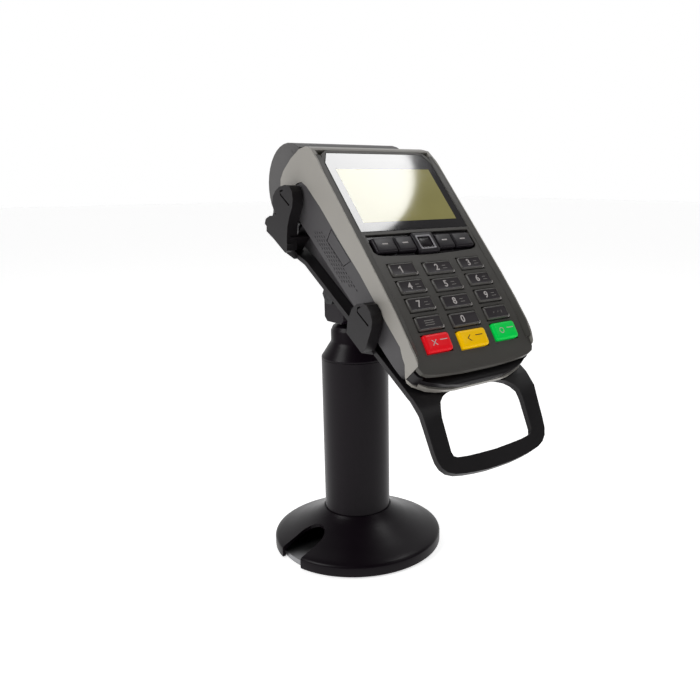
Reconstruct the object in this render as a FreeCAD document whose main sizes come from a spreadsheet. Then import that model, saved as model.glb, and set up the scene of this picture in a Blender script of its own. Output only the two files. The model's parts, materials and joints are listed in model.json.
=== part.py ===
import FreeCAD, Part
import math
import os

import Sketcher

# A portable card payment terminal in a cradle, on a swivelling and tilting counter stand.
# Millimetres, +Z up. The origin is the centre of the round base, on the counter.
# The terminal's user stands at -Y. Terminal parts are drawn in the terminal's own frame:
# x to the right, y along the face towards the paper roll, z out of the face.

DIMENSIONS = {
    # stand
    "pad_thickness": 0.8,
    "plate_thickness": 3.0,
    "plate_radius": 47.0,
    "base_radius": 49.6,
    "base_rim": 7.0,
    "base_foot_height": 22.6,
    "base_wall": 2.2,
    "tube_radius": 19.2,
    "tube_wall": 2.1,
    "tube_top": 113.5,
    "neck_radius": 13.5,
    "neck_top": 134.0,
    "bolt_circle": 35.0,
    "cable_slot_width": 17.7,
    "cable_slot_angle": 183.0,
    "tilt_axis_height": 151.0,
    "yoke_half": 14.0,
    "yoke_cheek": 4.5,
    "yoke_radius": 9.5,
    "pin_radius": 3.0,
    # terminal pose
    "face_tilt": 48.0,
    "face_y": -105.74,
    "face_z": 132.18,
    # terminal shell
    "body_half": 39.0,
    "bezel_half": 36.1,
    "wall": 2.0,
    "bezel_thickness": 2.4,
    "knee": 45.0,
    "crown": 200.0,
    "face_top": 127.2,
    "floor_slope": 0.276,
    "roll_y": 134.0,
    "roll_z": -34.0,
    "dome_radius": 22.3,
    "dome_half": 33.6,
    "hinge_y": 130.5,
    "hinge_z": -53.2,
    # keys
    "column_pitch": 21.9,
    "row_pitch": 9.8,
    "first_row": 51.9,
    "side_key_width": 15.2,
    "mid_key_width": 17.4,
    "key_depth": 7.2,
    "colour_key_depth": 8.8,
    "key_gap": 0.45,
    # cradle
    "tray_half": 38.0,
    "tray_thickness": 2.7,
    "handle_slope": 0.30,
    "ear_inner": 42.5,
    "ear_outer": 45.6,
    "lip_inner": 39.5,
}


class Dim:
    """A length together with the spreadsheet expression that it comes from."""

    def __init__(self, value, text):
        self.value = value
        self.text = text

    def __add__(self, other):
        other = as_dim(other)
        return Dim(self.value + other.value, "(%s + %s)" % (self.text, other.text))

    def __radd__(self, other):
        return as_dim(other) + self

    def __sub__(self, other):
        other = as_dim(other)
        return Dim(self.value - other.value, "(%s - %s)" % (self.text, other.text))

    def __rsub__(self, other):
        return as_dim(other) - self

    def __mul__(self, other):
        other = as_dim(other)
        return Dim(self.value * other.value, "(%s * %s)" % (self.text, other.text))

    def __rmul__(self, other):
        return self * other

    def __neg__(self):
        return Dim(-self.value, "(0 - %s)" % self.text)


def as_dim(number):
    return number if isinstance(number, Dim) else Dim(float(number), "(%.6f)" % number)


doc = FreeCAD.newDocument("card_terminal")
sheet = doc.addObject("Spreadsheet::Sheet", "Params")
D = {}
for line_number, (alias, size) in enumerate(DIMENSIONS.items(), start=1):
    sheet.set("A%d" % line_number, alias)
    sheet.set("B%d" % line_number, str(size))
    sheet.setAlias("B%d" % line_number, alias)
    D[alias] = Dim(float(size), "Params." + alias)
doc.recompute()

PARTS = []
V = FreeCAD.Vector


def size_of(alias):
    return D[alias].value


# ---------------------------------------------------------------- frames

def placed(x=0.0, y=0.0, z=0.0, turn_x=0.0, turn_z=0.0):
    spin = FreeCAD.Rotation(V(0, 0, 1), turn_z).multiply(FreeCAD.Rotation(V(1, 0, 0), turn_x))
    return FreeCAD.Placement(V(x, y, z), spin)


WORLD = FreeCAD.Placement()
FACE = placed(y=size_of("face_y"), z=size_of("face_z"), turn_x=size_of("face_tilt"))
TILT_AXIS = placed(z=size_of("tilt_axis_height"))


def face_height(y):
    """Height of the terminal's face at y: flat over the display, crowned towards the nose."""
    drop = max(0.0, size_of("knee") - y)
    return math.sqrt(size_of("crown") ** 2 - drop ** 2) - size_of("crown")


def face_lean(y):
    """Angle in degrees by which the face leans forward at y."""
    return math.degrees(math.asin(max(0.0, size_of("knee") - y) / size_of("crown")))


def crown_line(depth, y_start, count=6):
    """Points along the crowned part of the face, at a depth under it, from y_start up to the knee."""
    sweep = math.asin((size_of("knee") - y_start) / size_of("crown"))
    line = []
    for step in range(count):
        angle = sweep * (1 - step / count)
        radius = D["crown"] - depth
        line.append((D["knee"] - radius * math.sin(angle), radius * math.cos(angle) - D["crown"]))
    return line


# ---------------------------------------------------------------- building helpers

def finish(item, label, place):
    item.Label = label
    item.Placement = place
    PARTS.append(item)
    return item


def body(label, place=WORLD):
    item = doc.addObject("PartDesign::Body", label)
    return finish(item, label, place)


def sketch(owner, role, offset=0.0, lean=0.0, shift=0.0):
    """A sketch on one of the body's own origin planes, moved along its normal and y, and leaned about x."""
    item = owner.newObject("Sketcher::SketchObject", owner.Name + "_sketch")
    plane = [entry for entry in owner.Origin.OriginFeatures if entry.Role == role][0]
    item.AttachmentSupport = [(plane, "")]
    item.MapMode = "FlatFace"
    item.setExpression("AttachmentOffset.Base.z", as_dim(offset).text)
    item.AttachmentOffset = placed(y=shift, z=as_dim(offset).value, turn_x=lean)
    return item


def fix(item, kind, geometry, point, amount):
    amount = as_dim(amount)
    index = item.addConstraint(Sketcher.Constraint(kind, -1, 1, geometry, point, amount.value))
    item.setExpression("Constraints[%d]" % index, amount.text)


def outline(item, points):
    """A closed outline of straight lines, every corner held by the spreadsheet."""
    first = item.GeometryCount
    corners = [V(as_dim(a).value, as_dim(b).value, 0) for a, b in points]
    count = len(corners)
    for index, corner in enumerate(corners):
        item.addGeometry(Part.LineSegment(corner, corners[(index + 1) % count]), False)
    for index in range(count):
        following = first + (index + 1) % count
        item.addConstraint(Sketcher.Constraint("Coincident", first + index, 2, following, 1))
    for index, (a, b) in enumerate(points):
        fix(item, "DistanceX", first + index, 1, a)
        fix(item, "DistanceY", first + index, 1, b)


def circle(item, a, b, radius):
    radius = as_dim(radius)
    centre = V(as_dim(a).value, as_dim(b).value, 0)
    index = item.addGeometry(Part.Circle(centre, V(0, 0, 1), radius.value), False)
    fix(item, "DistanceX", index, 3, a)
    fix(item, "DistanceY", index, 3, b)
    held = item.addConstraint(Sketcher.Constraint("Radius", index, radius.value))
    item.setExpression("Constraints[%d]" % held, radius.text)


def rectangle(item, left, bottom, right, top):
    outline(item, [(left, bottom), (right, bottom), (right, top), (left, top)])


def mirrored(points):
    """A closed outline from its right half, given from bottom to top."""
    return points + [(-1 * as_dim(a), b) for a, b in reversed(points) if abs(as_dim(a).value) > 1e-6]


def pad(owner, profile, length, both_ways=False, reverse=False):
    item = owner.newObject("PartDesign::Pad", owner.Name + "_pad")
    item.Profile = profile
    item.setExpression("Length", as_dim(length).text)
    item.SideType = "Symmetric" if both_ways else "One side"
    item.Reversed = reverse
    return item


def pocket(owner, profile, length=None, both_ways=False, reverse=False):
    """A cut. With no length it goes through everything."""
    item = owner.newObject("PartDesign::Pocket", owner.Name + "_pocket")
    item.Profile = profile
    item.SideType = "Symmetric" if both_ways else "One side"
    if length is None:
        item.Type = "ThroughAll"
    else:
        item.setExpression("Length", as_dim(length).text)
    item.Reversed = reverse
    return item


def slab(owner, role, points, length, offset=0.0, both_ways=False, reverse=False):
    item = sketch(owner, role, offset)
    outline(item, points)
    return pad(owner, item, length, both_ways, reverse)


def cut(owner, role, points, length=None, offset=0.0, both_ways=False, reverse=False):
    item = sketch(owner, role, offset)
    outline(item, points)
    return pocket(owner, item, length, both_ways, reverse)


def trim(owner, role, points, margin=90.0):
    """Cuts away everything outside an outline, seen along the plane's normal."""
    item = sketch(owner, role)
    rectangle(item, -margin, -margin, margin, 2 * margin)
    outline(item, points)
    return pocket(owner, item, 4 * margin, both_ways=True)


def turned(owner, points, groove=False):
    """A full turn about the body's Z axis of an outline given as radius and height."""
    item = sketch(owner, "XZ_Plane")
    outline(item, points)
    kind = "PartDesign::Groove" if groove else "PartDesign::Revolution"
    feature = owner.newObject(kind, owner.Name + "_turn")
    feature.Profile = item
    feature.ReferenceAxis = (item, ["V_Axis"])
    feature.Angle = 360
    return feature


def drill(owner, role, holes, radius, length=None, offset=0.0, both_ways=False, reverse=False):
    item = sketch(owner, role, offset)
    for a, b in holes:
        circle(item, a, b, radius)
    return pocket(owner, item, length, both_ways, reverse)


def bar(label, place, role, radius, length, offset=0.0, a=0.0, b=0.0):
    """A plain round bar drawn on a plane and centred on it, unless it has an offset."""
    owner = body(label, place)
    item = sketch(owner, role, offset)
    circle(item, a, b, radius)
    pad(owner, item, length, both_ways=(as_dim(offset).value == 0.0))
    return owner


def group(label, place, pieces):
    """One node of identical loose pieces, each of them a separate solid."""
    item = doc.addObject("Part::Compound", label)
    item.Links = pieces
    return finish(item, label, place)


def polar(radius, degrees):
    angle = math.radians(degrees)
    return (as_dim(radius) * math.cos(angle), as_dim(radius) * math.sin(angle))


def loose_screw(name, head_radius, head_height, shank_radius, length, place):
    """A headed screw along -Z, its head's top at its own origin."""
    head = doc.addObject("Part::Cylinder", name + "_head")
    head.Radius = head_radius
    head.Height = head_height
    head.Placement = placed(z=-head_height)
    shank = doc.addObject("Part::Cylinder", name + "_shank")
    shank.Radius = shank_radius
    shank.Height = length
    shank.Placement = placed(z=-head_height - length)
    socket = doc.addObject("Part::Cylinder", name + "_socket")
    socket.Radius = head_radius * 0.5
    socket.Height = head_height * 0.5
    socket.Placement = placed(z=-head_height * 0.5)
    whole = doc.addObject("Part::Fuse", name + "_blank")
    whole.Base = head
    whole.Tool = shank
    screw = doc.addObject("Part::Cut", name)
    screw.Base = whole
    screw.Tool = socket
    screw.Placement = place
    return screw


# ---------------------------------------------------------------- stand

SLOT_ANGLE = size_of("cable_slot_angle")
MOUNT_ANGLES = (SLOT_ANGLE + 60, SLOT_ANGLE + 180, SLOT_ANGLE + 300)
PLATE_BOTTOM = D["pad_thickness"]
PLATE_TOP = PLATE_BOTTOM + D["plate_thickness"]
FOOT_RADIUS = D["tube_radius"] - D["tube_wall"] - 0.1
MOUNT_HOLE = 2.6
FOOT_SCREW_CIRCLE = 15.0


def slot_cut(owner, width, inner, height, low):
    """Cuts a round-ended slot that runs out through the rim, towards the cable side."""
    item = sketch(owner, "XY_Plane", low)
    half = as_dim(width) * 0.5
    points = []
    for degrees in range(90, 271, 20):
        angle = math.radians(degrees)
        points.append((half * math.cos(angle) + inner + half, half * math.sin(angle)))
    points += [(as_dim(60.0), -1 * half), (as_dim(60.0), half)]
    turn = math.radians(SLOT_ANGLE)
    spun = [(x * math.cos(turn) - y * math.sin(turn), x * math.sin(turn) + y * math.cos(turn)) for x,
            y in points]
    outline(item, spun)
    return pocket(owner, item, height, reverse=True)


def make_base_pad():
    owner = body("base_pad")
    item = sketch(owner, "XY_Plane")
    circle(item, 0, 0, D["plate_radius"] - 0.6)
    circle(item, 0, 0, 22.0)
    pad(owner, item, D["pad_thickness"])
    drill(owner, "XY_Plane", [polar(D["bolt_circle"], angle) for angle in MOUNT_ANGLES], MOUNT_HOLE,
            reverse=True)


def make_base_plate():
    owner = body("base_plate")
    item = sketch(owner, "XY_Plane", PLATE_BOTTOM)
    circle(item, 0, 0, D["plate_radius"])
    circle(item, 0, 0, 10.0)
    pad(owner, item, D["plate_thickness"])
    drill(owner, "XY_Plane", [polar(D["bolt_circle"], angle) for angle in MOUNT_ANGLES], MOUNT_HOLE,
            reverse=True)
    foot_holes = [polar(FOOT_SCREW_CIRCLE, angle) for angle in MOUNT_ANGLES]
    drill(owner, "XY_Plane", foot_holes, 2.1, reverse=True)
    drill(owner, "XY_Plane", foot_holes, 3.7, 2.0, offset=PLATE_BOTTOM, reverse=True)


def make_base_cover():
    owner = body("base_cover")
    rim = D["base_radius"]
    low = D["pad_thickness"]
    bore = D["tube_radius"] + 0.2
    top = D["base_foot_height"]
    wall = D["base_wall"]
    outer = [(rim, low), (rim, D["base_rim"] - 1.2), (rim - 0.4, D["base_rim"] - 0.3)]
    outer += [(rim - 1.4, D["base_rim"] + 0.4)]
    cone = [(40.0, 10.6), (31.0, 14.9), (25.0, 18.4), (21.6, 21.0)]
    shell = [(x, z) for x, z in cone] + [(bore + 0.6, top), (bore, top)]
    inner = [(bore, top - 4.5), (25.0, 18.4 - wall), (31.0, 14.9 - wall), (40.0, 10.6 - wall)]
    under = [(rim - wall - 0.8, D["base_rim"] - 1.8), (rim - wall, D["base_rim"] - 2.6), (rim - wall, low)]
    turned(owner, outer + shell + inner + under)
    slot_cut(owner, D["cable_slot_width"], 27.0, 30.0, 0.0)


def make_pole_foot():
    owner = body("pole_foot")
    item = sketch(owner, "XY_Plane", PLATE_TOP)
    circle(item, 0, 0, FOOT_RADIUS)
    circle(item, 0, 0, FOOT_RADIUS - 4.4)
    pad(owner, item, 18.0)
    slot_cut(owner, 13.0, 0.0, 30.0, 0.0)
    foot_holes = [polar(FOOT_SCREW_CIRCLE, angle) for angle in MOUNT_ANGLES]
    drill(owner, "XY_Plane", foot_holes, 1.7, 12.0, offset=PLATE_TOP, reverse=True)


def make_foot_screws():
    screws = []
    for number, angle in enumerate(MOUNT_ANGLES, start=1):
        x, y = polar(FOOT_SCREW_CIRCLE, angle)
        place = placed(x.value, y.value, PLATE_BOTTOM.value + 0.1, turn_x=180.0)
        screws.append(loose_screw("foot_screw_%d" % number, 3.4, 1.8, 1.65, 8.0, place))
    group("foot_screws", WORLD, screws)


def make_pole_tube():
    owner = body("pole_tube")
    item = sketch(owner, "XY_Plane", PLATE_TOP + 0.2)
    circle(item, 0, 0, D["tube_radius"])
    circle(item, 0, 0, D["tube_radius"] - D["tube_wall"])
    pad(owner, item, D["tube_top"] - PLATE_TOP - 0.2)
    slot_cut(owner, 13.0, 0.0, PLATE_TOP + 12.0, 0.0)


def make_pole_cap():
    """Shoulder and neck in one moulding, plugged into the tube's top."""
    owner = body("pole_cap")
    top = D["neck_top"]
    plug = D["tube_radius"] - D["tube_wall"] - 0.05
    shoulder = D["tube_top"]
    points = [(4.2, shoulder - 16.0), (plug, shoulder - 16.0), (plug, shoulder + 0.05)]
    points += [(D["tube_radius"], shoulder + 0.05), (D["tube_radius"], shoulder + 1.0)]
    points += [(D["neck_radius"] + 0.4, shoulder + 9.2), (D["neck_radius"], shoulder + 10.2)]
    points += [(D["neck_radius"], top - 4.6), (D["neck_radius"] - 1.2, top - 2.0)]
    points += [(D["neck_radius"] - 3.6, top - 0.6)]
    points += [(D["neck_radius"] - 5.0, top), (4.2, top)]
    turned(owner, points)


YOKE_BOTTOM = D["neck_top"] + 0.8


def make_swivel_washer():
    owner = body("swivel_washer")
    item = sketch(owner, "XY_Plane", D["neck_top"] + 0.02)
    circle(item, 0, 0, 8.2)
    circle(item, 0, 0, 4.3)
    pad(owner, item, 0.5)


def make_swivel_bolt():
    """Shoulder bolt that holds the yoke down and is its swivel pin."""
    owner = body("swivel_bolt")
    item = sketch(owner, "XY_Plane", D["tube_top"] - 15.0)
    circle(item, 0, 0, 4.0)
    pad(owner, item, D["neck_top"] - D["tube_top"] + 15.0 + 6.0)
    head = sketch(owner, "XY_Plane", D["neck_top"] + 4.5)
    circle(head, 0, 0, 6.5)
    pad(owner, head, 2.6)
    nut = sketch(owner, "XY_Plane", D["tube_top"] - 23.0)
    circle(nut, 0, 0, 7.5)
    pad(owner, nut, 6.8)
    link = sketch(owner, "XY_Plane", D["tube_top"] - 17.0)
    circle(link, 0, 0, 4.0)
    pad(owner, link, 3.0)


def make_tilt_yoke():
    owner = body("tilt_yoke", TILT_AXIS)
    low = YOKE_BOTTOM - D["tilt_axis_height"]
    round_top = D["yoke_radius"]
    profile = [(-1 * round_top + 2.5, low), (round_top - 2.5, low), (round_top, low + 2.5)]
    for degrees in range(0, 181, 20):
        angle = math.radians(degrees)
        profile.append((round_top * math.cos(angle), round_top * math.sin(angle)))
    profile += [(-1 * round_top, low + 2.5)]
    slab(owner, "YZ_Plane", profile, D["yoke_half"] * 2, both_ways=True)
    gap = D["yoke_half"] - D["yoke_cheek"]
    cut(owner, "XZ_Plane", [(-1 * gap, low + 3.4), (gap, low + 3.4), (gap, 30.0), (-1 * gap, 30.0)], 60.0,
            both_ways=True)
    drill(owner, "YZ_Plane", [(0.0, 0.0)], D["pin_radius"] + 0.05, 60.0, both_ways=True)
    drill(owner, "XY_Plane", [(0.0, 0.0)], 4.1, 60.0, both_ways=True)


def make_tilt_pin():
    owner = body("tilt_pin", TILT_AXIS)
    item = sketch(owner, "YZ_Plane")
    circle(item, 0, 0, D["pin_radius"])
    pad(owner, item, D["yoke_half"] * 2 + 6.6, both_ways=True)
    head = sketch(owner, "YZ_Plane", D["yoke_half"] + 0.1)
    circle(head, 0, 0, 5.6)
    pad(owner, head, 3.2)


def make_tilt_nut():
    owner = body("tilt_nut", TILT_AXIS)
    item = sketch(owner, "YZ_Plane", -1 * D["yoke_half"] - 3.4)
    outline(item, [polar(5.8, 60 * corner) for corner in range(6)])
    circle(item, 0, 0, D["pin_radius"] + 0.02)
    pad(owner, item, 3.2)


# ---------------------------------------------------------------- cradle

FLOOR_Y = 2.6
FLOOR_TOP = -18.6
SLOPE = D["floor_slope"]
FLOOR_LEAN = math.degrees(math.atan(size_of("floor_slope")))


def floor_line(y, lift=0.0):
    """Height of the cradle's floor at y, in the terminal's frame."""
    return FLOOR_TOP + lift - SLOPE * (y - FLOOR_Y)


TRAY_SCREWS = [(x, y) for x in (-14.0, 14.0) for y in (68.0, 88.0)]
FLOOR = FACE.multiply(placed(z=floor_line(0.0).value, turn_x=-FLOOR_LEAN))

HANDLE_BEND = -9.0
HANDLE_END = -44.6


def handle_line(y, lift=0.0):
    return floor_line(HANDLE_BEND, lift) + D["handle_slope"] * (y - HANDLE_BEND)


def tray_profile():
    thick = D["tray_thickness"]
    top = [(92.0, floor_line(92.0)), (101.0, floor_line(101.0) - 2.4), (107.0, floor_line(107.0) - 4.8)]
    top += [(111.5, floor_line(111.5) - 5.8)]
    under = [(y, z - thick) for y, z in reversed(top)]
    bend_top = [(HANDLE_BEND - 4.0, handle_line(HANDLE_BEND - 4.0) + 0.7)]
    bend_top += [(HANDLE_BEND + 4.0, floor_line(HANDLE_BEND + 4.0))]
    bend_low = [(HANDLE_BEND + 4.0, floor_line(HANDLE_BEND + 4.0) - thick)]
    bend_low += [(HANDLE_BEND - 4.0, handle_line(HANDLE_BEND - 4.0) - thick + 0.2)]
    end_top = (HANDLE_END, handle_line(HANDLE_END))
    end_low = (HANDLE_END, handle_line(HANDLE_END) - thick)
    return [end_low, end_top] + bend_top + top + under + bend_low


def handle_outer():
    low = [(0.0, -43.9), (8.0, -43.8), (15.0, -43.3), (22.0, -42.5), (28.0, -41.4), (32.0, -39.7)]
    low += [(34.6, -37.2)]
    side = [(36.0, -34.0), (36.5, -30.0), (36.9, -20.0), (37.4, -11.0), (D["tray_half"], -3.0)]
    side += [(D["tray_half"], 111.6)]
    return low + side


def handle_inner():
    low = [(0.0, -36.3), (10.0, -36.0), (18.0, -35.6), (24.0, -34.9), (26.0, -34.0), (26.8, -32.0)]
    high = [(26.8, -17.0), (26.0, -13.0), (24.0, -9.6), (21.0, -7.2), (16.0, -5.2), (8.0, -3.6), (0.0, -3.2)]
    return low + high


FRONT_EAR_EDGE = [(45.9, -17.5), (45.1, -12.6), (42.9, -8.9), (40.4, -7.0), (36.6, -6.8), (32.6, -8.4)]
FRONT_EAR_EDGE += [(30.1, -11.7), (28.0, -17.0), (26.0, -21.5), (25.8, -24.2)]
FRONT_EAR_FOOT = [(27.0, -25.8), (39.8, -29.1), (43.2, -25.0)]
REAR_EAR_EDGE = [(128.8, -31.1), (127.7, -27.0), (125.1, -22.6), (121.4, -19.2), (117.9, -19.2), (114.6, -21.4)]
REAR_EAR_EDGE += [(112.3, -24.7), (110.9, -29.8), (108.6, -35.1), (104.4, -40.2), (100.4, -44.4)]
REAR_EAR_FOOT = [(100.8, -46.4), (104.3, -47.6), (112.4, -50.2), (120.6, -53.4), (122.4, -51.4), (124.4, -52.0)]
REAR_EAR_FOOT += [(125.6, -49.4), (124.0, -45.0), (120.6, -40.8), (120.6, -39.2), (124.0, -38.9)]
REAR_EAR_FOOT += [(126.8, -37.8)]
REAR_EAR_FOOT += [(128.6, -35.2)]
FRONT_TAB_SLOT = [(42.5, -11.3), (43.4, -13.6), (42.2, -15.0), (32.6, -12.3)]
REAR_TAB_SLOT = [(124.0, -25.4), (125.6, -27.8), (124.3, -28.8), (114.8, -26.1)]
EAR_LIP = 2.2


def drawn_in(points, centre, amount):
    """The points moved towards a centre by an amount."""
    moved = []
    for y, z in points:
        reach = math.hypot(centre[0] - y, centre[1] - z)
        moved.append((y + (centre[0] - y) * amount / reach, z + (centre[1] - z) * amount / reach))
    return moved


def ribbon(points, half):
    """A narrow closed outline that follows a line of points."""
    left = []
    right = []
    for index, (y, z) in enumerate(points):
        before = points[max(0, index - 1)]
        after = points[min(len(points) - 1, index + 1)]
        dy, dz = after[0] - before[0], after[1] - before[1]
        reach = math.hypot(dy, dz)
        left.append((y - dz / reach * half, z + dy / reach * half))
        right.append((y + dz / reach * half, z - dy / reach * half))
    return left + list(reversed(right))


def ear_foot(owner, start, end, floor_step, outer_low):
    """The slanting web under an ear, from its outer wall down to the cradle's floor, on both sides."""
    run = (end - start) / math.cos(math.radians(FLOOR_LEAN))
    thick = size_of("tray_thickness")
    edge = size_of("ear_outer")
    half = size_of("tray_half")
    height = floor_line(start).value - floor_step
    outer_lift = outer_low - height
    web = [(half - 6.0, 0.0), (half - 1.0, 0.0), (edge - 3.1, outer_lift + 2.6), (edge - 3.1, outer_lift + 5.0)]
    web += [(edge, outer_lift + 5.0), (edge, outer_lift), (half + 0.6, -thick), (half - 6.0, -thick)]
    for side in (1, -1):
        item = sketch(owner, "XZ_Plane", -start, lean=-FLOOR_LEAN, shift=height)
        outline(item, [(side * x, z) for x, z in web])
        pad(owner, item, run, reverse=True)


def make_tray():
    """Cradle floor, four gripping ears and the hand loop, moulded in one piece."""
    owner = body("tray", FACE)
    slab(owner, "YZ_Plane", tray_profile(), D["ear_outer"] * 2, both_ways=True)
    edge_room = [(D["tray_half"], -60.0), (60.0, -60.0), (60.0, 130.0), (D["tray_half"], 130.0)]
    cut(owner, "XY_Plane", edge_room, 200.0, both_ways=True)
    cut(owner, "XY_Plane", [(-1 * as_dim(x), y) for x, y in edge_room], 200.0, both_ways=True)
    trim(owner, "XY_Plane", mirrored(handle_outer()[:-1] + [(60.0, -3.0), (60.0, 112.0)]))
    cut(owner, "XY_Plane", mirrored(handle_inner()), 200.0, both_ways=True)
    ear_foot(owner, 26.4, 40.0, 0.0, -25.5)
    ear_foot(owner, 100.6, 109.4, 3.0, -46.3)
    gusset = [(32.0, -52.6), (32.0, -38.8), (44.0, -38.8), (44.0, -46.6), (38.0, -52.6)]
    for side in (1, -1):
        item = sketch(owner, "XZ_Plane", -104.4)
        outline(item, [(side * x, z) for x, z in gusset])
        pad(owner, item, 1.5, reverse=True)
    ear_wall = D["ear_outer"] - D["ear_inner"]
    lip = D["ear_outer"] - D["lip_inner"]
    ears = ((FRONT_EAR_EDGE, FRONT_EAR_FOOT, (37.0, -22.0), FRONT_TAB_SLOT),)
    ears += ((REAR_EAR_EDGE, REAR_EAR_FOOT, (118.5, -38.0), REAR_TAB_SLOT),)
    for edge, foot, centre, slot in ears:
        for side in (1, -1):
            wall_start = D["ear_inner"] if side > 0 else -1 * D["ear_outer"]
            slab(owner, "YZ_Plane", edge + foot, ear_wall, offset=wall_start)
            lip_start = D["lip_inner"] if side > 0 else -1 * D["ear_outer"]
            lip_profile = edge + list(reversed(drawn_in(edge, centre, EAR_LIP)))
            slab(owner, "YZ_Plane", lip_profile, lip, offset=lip_start)
            slot_start = D["ear_outer"] - 1.0 if side > 0 else -1 * D["ear_outer"]
            cut(owner, "YZ_Plane", ribbon(slot, 0.45), 1.0, offset=slot_start, reverse=True)
    for radius, depth in ((1.3, 20.0), (2.0, 1.3)):
        holes = sketch(owner, "XY_Plane", floor_line(0.0), lean=-FLOOR_LEAN)
        for x, y in TRAY_SCREWS:
            circle(holes, x, y, radius)
        pocket(owner, holes, depth)


def make_tilt_bracket():
    """Plate screwed under the cradle's floor, with the lug that turns in the yoke."""
    owner = body("tilt_bracket", FLOOR)
    axis = FLOOR.inverse().multVec(V(0, 0, size_of("tilt_axis_height")))
    top = -1 * D["tray_thickness"] - 0.05
    plate = [(62.0, top), (94.4, top), (94.4, top - 2.2), (93.4, top - 3.2), (63.0, top - 3.2)]
    plate += [(62.0, top - 2.2)]
    slab(owner, "YZ_Plane", plate, 40.0, both_ways=True)
    gap = D["yoke_half"] - D["yoke_cheek"] - 0.3
    radius = 8.6
    lug = [(79.0, top - 1.0), (93.0, top - 1.0), (94.6, top - 6.0)]
    for degrees in range(20, -171, -19):
        angle = math.radians(degrees)
        lug.append((axis.y + radius * math.cos(angle), axis.z + radius * math.sin(angle)))
    slab(owner, "YZ_Plane", lug, gap * 2, both_ways=True)
    drill(owner, "YZ_Plane", [(axis.y, axis.z)], D["pin_radius"] + 0.05, 60.0, both_ways=True)
    drill(owner, "XY_Plane", TRAY_SCREWS, 1.25, 60.0, both_ways=True)


def make_tray_screws():
    screws = []
    for number, (x, y) in enumerate(TRAY_SCREWS, start=1):
        screws.append(loose_screw("tray_screw_%d" % number, 1.9, 1.2, 1.2, 4.6, placed(x, y, -0.08)))
    group("tray_screws", FLOOR, screws)


# ---------------------------------------------------------------- terminal shells

SEAM = [(16.8, -7.0), (36.8, -8.3), (58.3, -9.1), (79.5, -11.3), (102.4, -13.0), (117.5, -15.2), (122.6, -17.6)]
SEAM_END = [(125.2, -21.6), (126.0, -26.0)]
SEAM_GAP = 0.3


CORNER_POST = 33.9


def make_upper_housing():
    """Light side band, open in the middle, with the bar under the card slot and the rear bridge."""
    owner = body("upper_housing", FACE)
    front = [(9.2, -10.0), (4.6, -15.0), (3.0, -16.6), (-4.6, -16.0), (-6.6, -14.4), (-6.2, -12.8)]
    front += [(-2.6, -10.6)]
    nose = [(1.4, -6.3), (5.4, -2.6), (9.0, -1.4), (16.0, -0.2), (30.0, 0.6), (45.0, 0.9), (121.0, 0.6)]
    rear = [(128.6, -0.4), (133.0, -3.6), (136.8, -9.6), (139.4, -19.0), (140.2, -29.0), (139.0, -34.0)]
    rear += [(136.2, -36.0)]
    slab(owner, "YZ_Plane", front + nose + rear + [(127.4, -31.6)] + list(reversed(SEAM + SEAM_END)),
            D["body_half"] * 2, both_ways=True)
    half = D["body_half"]
    plan = [(0.0, -7.4), (12.0, -7.0), (22.0, -5.6), (30.0, -3.2), (35.6, 0.6), (38.0, 5.0), (half, 12.0)]
    plan += [(half, 118.0), (half - 0.8, 130.0), (half - 2.2, 141.0)]
    trim(owner, "XY_Plane", mirrored(plan))
    inner = D["bezel_half"] + 0.2
    flare = inner + 1.3
    room = [(flare, 4.6), (flare - 0.3, 8.0), (inner, 20.0), (inner, 127.5)]
    cut(owner, "XY_Plane", mirrored(room), 200.0, both_ways=True)
    upper = [(-20.0, -13.0), (5.0, -13.0), (5.0, 20.0), (-20.0, 20.0)]
    cut(owner, "YZ_Plane", upper, flare * 2, both_ways=True)
    corner = [(-20.0, -14.9), (5.0, -14.9), (5.0, -12.0), (-20.0, -12.0)]
    for start in (CORNER_POST - 0.3, -1 * flare):
        cut(owner, "YZ_Plane", corner, flare - CORNER_POST + 0.3, offset=start, reverse=True)
    rim_loft(owner, "PartDesign::SubtractiveLoft", "upper_housing_rebate", rebate_section, 0.3)
    dome_gap = D["dome_half"] + 0.4
    rear_room = [(100.0, -10.4), (133.0, -10.4), (150.0, -17.0), (150.0, -60.0), (100.0, -60.0)]
    cut(owner, "YZ_Plane", rear_room, dome_gap * 2, both_ways=True)


RIM_STATIONS = [(8.3, 37.4, -1.6), (16.0, 38.2, -0.4), (30.0, 38.2, 0.4), (45.0, 38.2, 0.7)]
RIM_STATIONS += [(112.0, 38.2, 0.55)]
RIM_STATIONS += [(124.0, 37.4, 0.1)]
RIM_INNER = 35.0


def rim_loft(owner, kind, role, section, stretch):
    """A ruled loft along each side of the face, through one section per station."""
    for side in (1, -1):
        sections = []
        for number, (y, wide, top) in enumerate(RIM_STATIONS):
            shift = {0: -1 * stretch, len(RIM_STATIONS) - 1: stretch}.get(number, 0.0)
            item = sketch(owner, "XZ_Plane", -1 * (y + shift))
            outline(item, [(side * x, z) for x, z in section(wide, face_height(y), top)])
            sections.append(item)
        loft = owner.newObject(kind, role)
        loft.Profile = sections[0]
        loft.Sections = sections[1:]
        loft.Ruled = True


def rim_section(wide, face, top):
    return [(RIM_INNER, face - 0.8), (wide, face - 0.8), (wide, top), (wide - 0.5, top),
            (RIM_INNER, face + 0.2)]


def rebate_section(wide, face, top):
    return [(36.0, face - 1.3), (wide + 0.2, face - 1.3), (wide + 0.2, 5.0), (36.0, 5.0)]


BEZEL_FRONT = -1.8
LENS_LOW = 75.8
LENS_HIGH = 125.6
FKEY_LOW = 61.2
FKEY_HIGH = 74.0


def key_rows():
    """y of each of the four digit rows and of the coloured row, from the display down."""
    return [size_of("first_row") - size_of("row_pitch") * row for row in range(4)] + [12.4]


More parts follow.
